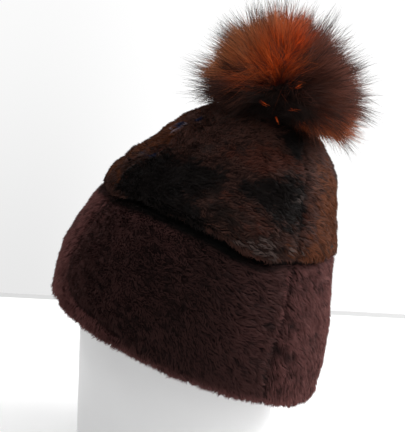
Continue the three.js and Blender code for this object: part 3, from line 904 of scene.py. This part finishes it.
# The pompom: where its hair starts from the middle, and how low on the ball its hair still grows.
HAIR_START = 0.026
LOWEST_WAY = -0.62
# No hair ends further than this to the right of the pompom's middle.
FURTHEST_RIGHT = 0.0795
# Directions over the whole ball for each hair that is left above the lowest way.
SPARE = 1.24
# The radius of the ball on which its soft random fields are taken.
WAVES_AT = 0.05
# Its layers of hair: name, hairs, locks, length as a share of the dense fur's reach, width, rings,
# how far it gathers into locks, how dark its ends are, how much its locks are darkened, which for the
# under fur is painted shade deep in the ball, and its seed.
HAIR_LAYERS = (
    ("pompom_under_fur", 12000, 520, (0.76, 0.96), 0.00042, 3, 0.55, 0.0, 0.15, 31),
    ("pompom_long_fur", 15800, 380, (0.93, 1.16), 0.00021, 4, 0.78, 0.25, 0.0, 32),
    ("pompom_fine_fur", 6000, 700, (0.98, 1.22), 0.00013, 4, 0.50, 0.0, -0.1, 34),
    ("pompom_guard_hair", 5200, 170, (1.12, 1.38), 0.00016, 4, 0.80, 1.0, 0.0, 33),
)


def even_directions(count):
    """Directions spread evenly over a ball."""
    i = np.arange(count) + 0.5
    z = 1 - 2 * i / count
    turn = i * math.pi * (3 - math.sqrt(5))
    r = np.sqrt(1 - z * z)
    return np.stack([r * np.cos(turn), r * np.sin(turn), z], -1)


def pompom_reach(way):
    """How far the dense fur reaches from the pompom's middle, on the beanie's axis."""
    sag = 0.0022 * way[:, 0] - 0.002 * way[:, 2]
    sag -= 0.0060 * ease(way @ (0.5, 0.0, 0.87), 0.55, 1.0)
    return POMPOM_RADIUS + sag + 0.0018 * waves(way * WAVES_AT, 0.03, 21)


def lift_off_crown(points, clear):
    """Moves hair that would sink into the crown up onto it."""
    flat = points.reshape(-1, 3).copy()
    radius = np.hypot(flat[:, 0] - axis_shift(flat[:, 2]), flat[:, 1])
    ground = np.interp(radius, CROWN_RADII[::-1], CROWN_HEIGHTS[::-1]) + clear
    flat[:, 2] = np.maximum(flat[:, 2], ground)
    return flat.reshape(points.shape)


def pompom_tones(way, own):
    """The warmth, brightness and tan of the fur, by the way that it grows and its lock's number: partly
    the fur's own tones, partly painted light on its top and left and painted shade underneath.
    """
    right, up = way[:, 0], way[:, 2]
    wander = 0.10 * waves(way * WAVES_AT, 0.022, 22) + 0.30 * (own - 0.5)
    # Painted light makes the fur lighter towards the top and the left, and painted shade darkens it
    # underneath.
    edge = np.minimum((up - 2.5 * right - 0.18) / 2.4, up - 0.11 * right - 0.235)
    bright_and_lit = ease(edge + wander, -0.02, 0.26)
    low_right = ease(right, 0.20, 0.55) * ease(-up, 0.10, 0.40)
    bright_and_lit = np.maximum(bright_and_lit, low_right * (own > 0.45))
    sideways = np.where(right > 0, 0.85 * right + 0.6 * up, up - 0.35 * right)
    warm_unshaded = ease(sideways + 0.7 * wander, 0.09, 0.54)
    tan = np.maximum(ease(up - 1.3 * right + 0.5 * wander, 0.75, 1.40), 0.5 * low_right)
    return warm_unshaded, bright_and_lit, tan


# The front fur is parted here, and lies away from the parting all round.
PARTING = np.array([-0.10, -0.96, 0.20])


def underside(facing):
    """1 for hair that faces down over the front of the crown, where it is short and very dark: dark fur
    with painted shade from its tones.
    """
    return ease(-facing[:, 2] - 0.55 * np.maximum(facing[:, 0], 0), 0.03, 0.34)


def make_hair(name, count, locks, length, width, rings, gather, guard, shade_darker, seed):
    """One layer of the pompom's hair, by a row of HAIR_LAYERS."""
    maker = np.random.default_rng(seed)
    tries = int(count * SPARE)
    way = unit(even_directions(tries) + maker.normal(size=(tries, 3)) * 0.03)
    way = way[way[:, 2] > LOWEST_WAY]
    heads = even_directions(locks)
    heads = unit(heads + maker.normal(size=heads.shape) * 0.06)
    near = np.argmax(way @ heads.T, 1)
    head = heads[near]
    own = maker.uniform(size=(locks, 4))[near]
    facing = turn_to_space(way)
    under = underside(facing)
    reach = pompom_reach(way) * maker.uniform(*length, len(way)) * (0.87 + 0.22 * own[:, 0])
    reach *= 1 - 0.36 * under
    parting = turn_to_beanie(unit(PARTING))
    from_parting = way @ parting
    away = unit(way - from_parting[:, None] * parting)
    loose = 0.55 + 0.7 * ease(from_parting, 0.45, 0.95)
    comb = (own[:, 1:] - 0.5) * loose[:, None] + maker.normal(size=(len(way), 3)) * 0.13
    upright = 1 - 0.85 * ease(from_parting, 0.80, 0.99)
    comb = comb + away * (0.9 * ease(from_parting, -0.3, 0.6) * upright * (1 - 0.7 * under))[:, None]
    spines = np.empty((len(way), rings, 3))
    wide = np.zeros((len(way), rings))
    thick = width * maker.uniform(0.75, 1.25, len(way))
    for k in range(rings):
        t = k / (rings - 1)
        pull = gather * t**1.3
        aim = unit(way * (1 - pull) + head * pull + comb * 0.5 * t * t)
        spines[:, k] = aim * (HAIR_START + (reach - HAIR_START) * t)[:, None]
        if 0 < k < rings - 1:
            spines[:, k] += maker.normal(size=(len(way), 3)) * 0.0010
            wide[:, k] = thick * (1.15 - 0.65 * t)
    furthest = turn_to_space(spines[:, -1])[:, 0]
    spines *= np.minimum(1, FURTHEST_RIGHT / np.maximum(furthest, 0.01))[:, None, None]
    spines = lift_off_crown(spines + POMPOM_AT, 0.0015)
    spines = to_space(spines.reshape(-1, 3)).reshape(spines.shape)
    hair, strand, share = strand_mesh(name, spines, wide, facing, 0.45)
    # The under fur's locks get painted shade, as they lie deep in the ball.
    tufts = 0.65 * own[:, 2] + 0.35 * maker.uniform(size=len(way)) + shade_darker
    tones = pompom_tones(facing, own[:, 0])
    dress_hair(hair, share, tufts[strand], [tone[strand] for tone in tones], guard)


def dress_hair(hair, along, tuft, tones, guard):
    """Gives a layer of hair its numbers, its material and its place in the part."""
    add_numbers(hair.data, "along", along)
    add_numbers(hair.data, "tuft", tuft)
    for key, values in zip(("warm_unshaded", "bright_and_lit", "tan"), tones):
        add_numbers(hair.data, key, values)
    add_numbers(hair.data, "guard", np.full(len(along), guard))
    hair.data.materials.append(long_fur)
    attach(hair, "root")
    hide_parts("pompom")


def make_pompom_heart():
    """The dense fur at the pompom's heart: a ball shaped to the fur round it."""
    ball = bpy.ops.mesh.primitive_ico_sphere_add
    heart = new_shape("pompom_heart", ball, subdivisions=5, radius=1.0, location=(0, 0, 0))
    points, _, _ = corners_of(heart.data)
    way = unit(points)
    deep = pompom_reach(way) * (0.68 - 0.08 * underside(turn_to_space(way)))
    deep += 0.0015 * waves(way * WAVES_AT, 0.006, 23)
    out = to_space(lift_off_crown(way * deep[:, None] + POMPOM_AT, 0.0008))
    heart.data.vertices.foreach_set("co", out.ravel())
    heart.data.update()
    bpy.ops.object.shade_smooth()
    tones = pompom_tones(turn_to_space(way), np.full(len(way), 0.5))
    dress_hair(heart, np.full(len(way), 0.1), np.full(len(way), 0.5), tones, 0.0)


# Short orange curls that lie over the dark fur in front: right and up from the pompom's middle and
# length in metres, and the way they run in degrees.
CURLS = (
    (-0.0185, -0.0035, 0.0100, -26),
    (0.0020, -0.0080, 0.0080, -12),
    (-0.0060, -0.0135, 0.0060, -72),
    (0.0050, 0.0060, 0.0060, 30),
)
CURLS_REACH = 0.0545
CURL_WIDTH = 0.00009


def make_curls():
    maker = np.random.default_rng(35)
    middle = to_space(POMPOM_AT[None])[0]
    spines, facings = [], []
    for right, up, length, turn in CURLS:
        near = math.sqrt(CURLS_REACH**2 - right**2 - up**2)
        start = np.array([right, -near, up])
        facing = unit(start)
        for _ in range(4):
            run = math.radians(turn + maker.uniform(-10, 10))
            way = np.array([math.cos(run), 0, math.sin(run)])
            way = unit(way - facing * (way @ facing))
            bow = np.cross(facing, way) * maker.uniform(-0.35, 0.35) + facing * 0.15
            begins = middle + start + maker.normal(size=3) * 0.0005
            t = np.linspace(0, 1, 6)[:, None]
            spines.append(begins + (way * t + bow * t * (1 - t)) * length * maker.uniform(0.6, 1.1))
            facings.append(facing)
    spines = np.array(spines)
    widths = np.zeros(spines.shape[:2])
    widths[:, 1:-1] = CURL_WIDTH
    curls, strand, share = strand_mesh("pompom_orange_curls", spines, widths, np.array(facings), 0.45)
    full = np.ones(len(strand))
    tuft = maker.uniform(0.1, 0.6, len(spines))[strand]
    dress_hair(curls, share, tuft, (full, full, full * 0), 0.0)


make_pompom_heart()
make_curls()
for layer in HAIR_LAYERS:
    make_hair(*layer)


# The stand

# The rings of its dome, as height and radius. The first one tops its straight side.
STAND_RINGS = (
    (0.148, 0.0763), (0.160, 0.0758), (0.172, 0.0720), (0.184, 0.0652), (0.196, 0.0572),
    (0.208, 0.0486), (0.220, 0.0393), (0.232, 0.0288), (0.242, 0.0175), (0.2485, 0.0006),
)


def make_stand():
    low, radius = STAND_RINGS[0]
    round_bar, middle = bpy.ops.mesh.primitive_cylinder_add, (0, 0, low / 2)
    stand = new_shape("smooth_stand", round_bar, vertices=96, radius=radius, depth=low, location=middle)
    bpy.ops.object.transform_apply(location=True, rotation=True, scale=True)
    bpy.ops.object.mode_set(mode="EDIT")
    bpy.ops.mesh.select_all(action="DESELECT")
    shape = bmesh.from_edit_mesh(stand.data)
    top = max(shape.faces, key=lambda f: f.calc_center_median().z)
    top.select = True
    bmesh.update_edit_mesh(stand.data)
    for height, next_radius in STAND_RINGS[1:]:
        bpy.ops.mesh.extrude_region_move(TRANSFORM_OT_translate={"value": (0, 0, height - low)})
        scale = next_radius / radius
        bpy.ops.transform.resize(value=(scale, scale, 1), center_override=(0, 0, height))
        low, radius = height, next_radius
    bpy.ops.mesh.select_all(action="DESELECT")
    shape = bmesh.from_edit_mesh(stand.data)
    for edge in shape.edges:
        edge.select = all(v.co.z < 1e-5 for v in edge.verts)
    bmesh.update_edit_mesh(stand.data)
    bpy.ops.mesh.bevel(offset=0.002, segments=4)
    bpy.ops.object.mode_set(mode="OBJECT")
    bpy.ops.object.shade_smooth_by_angle(angle=math.radians(40))
    stand.data.materials.append(white)
    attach(stand, "root")
    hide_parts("stand")


make_stand()


# The table, the light and the camera

def pale_table():
    """The table, and the thin painted shadow line along its far edge."""
    made, g, surface = new_material("pale_table_top")
    g.link(g.mix(g.noise(6, 2), (0.92, 0.92, 0.92), (0.94, 0.94, 0.94)), surface.inputs["Base Color"])
    set_inputs(surface, Roughness=0.6)
    # A grey strip stands in for the shadow along the table's far edge: a painted shadow line.
    line, g, surface = new_material("far_edge_painted_shadow")
    g.link(g.mix(g.noise(40, 2), (0.48, 0.48, 0.48), (0.54, 0.54, 0.54)), surface.inputs["Base Color"])
    far = 0.38
    for name, deep, middle, height, colour in (
        ("pale_table", 1.6, far - 0.8, -0.0002, made),
        ("table_far_edge", 0.02, far + 0.01, -0.0010, line),
    ):
        table = new_shape(name, bpy.ops.mesh.primitive_plane_add, size=1.0, location=(0, middle, height))
        table.scale = (3.0, deep, 1.0)
        table.data.materials.append(colour)


def soft_world():
    """A white room: the wall that the camera sees, and light that is strongest from the right and above."""
    world = bpy.data.worlds.new("white_room")
    bpy.context.scene.world = world
    world.use_nodes = True
    g = Graph(world.node_tree)
    back = world.node_tree.nodes["Background"]
    parts = g.node("ShaderNodeSeparateXYZ")
    g.link(g.node("ShaderNodeTexCoord").outputs["Generated"], parts.inputs[0])
    x, y, z = parts.outputs
    # The wall brightens from the lower left to the right, and the room behind the camera is dimmer.
    wall = g.span(x, -0.19, 0.04, g.span(z, -0.34, 0.06, 0.80, 0.965), 1.06)
    room = g.span(y, -0.5, 0.1, 0.27, wall)
    # It is dimmest far to the left, and light falls in from the right and from above.
    room = g.math("MULTIPLY", room, g.span(x, -0.9, -0.3, 0.45, 1.0))
    room = g.math("ADD", room, g.span(x, 0.30, 0.85, 0.0, 0.62))
    room = g.math("ADD", room, g.span(z, 0.15, 0.85, 0.0, 0.2))
    g.link(room, back.inputs["Strength"])
    back.inputs["Color"].default_value = (1.0, 1.0, 1.0, 1.0)


def soft_lamp(name, place, aim, size, power):
    data = bpy.data.lights.new(name, "AREA")
    data.shape, data.size, data.energy = "DISK", size, power
    lamp = bpy.data.objects.new(name, data)
    bpy.context.scene.collection.objects.link(lamp)
    lamp.location = place
    lamp.rotation_mode = "QUATERNION"
    lamp.rotation_quaternion = (Vector(aim) - Vector(place)).to_track_quat("-Z", "Y")


def photo_camera():
    aim, distance = Vector((0.014, 0.0, 0.190)), 0.700
    rise, roll = math.radians(11.5), math.radians(3.1)
    back = Vector((0.0, -math.cos(rise), math.sin(rise)))
    data = bpy.data.cameras.new("camera")
    focal_pixels, picture_height, sensor = 920, 432, 36
    data.lens = focal_pixels / picture_height * sensor
    data.sensor_width = sensor
    camera = bpy.data.objects.new("camera", data)
    bpy.context.scene.collection.objects.link(camera)
    camera.location = aim + back * distance
    camera.rotation_mode = "QUATERNION"
    camera.rotation_quaternion = (-back).to_track_quat("-Z", "Y") @ Quaternion((0, 0, 1), roll)
    bpy.context.scene.camera = camera


pale_table()
soft_world()
soft_lamp("window_right", (1.05, 0.18, 0.90), (0.0, 0.0, 0.18), 0.8, 13.0)
soft_lamp("sky_above", (-0.40, -0.40, 1.2), (0.06, 0.0, 0.28), 0.6, 3.5)
photo_camera()
bpy.context.scene.view_settings.view_transform = "Standard"
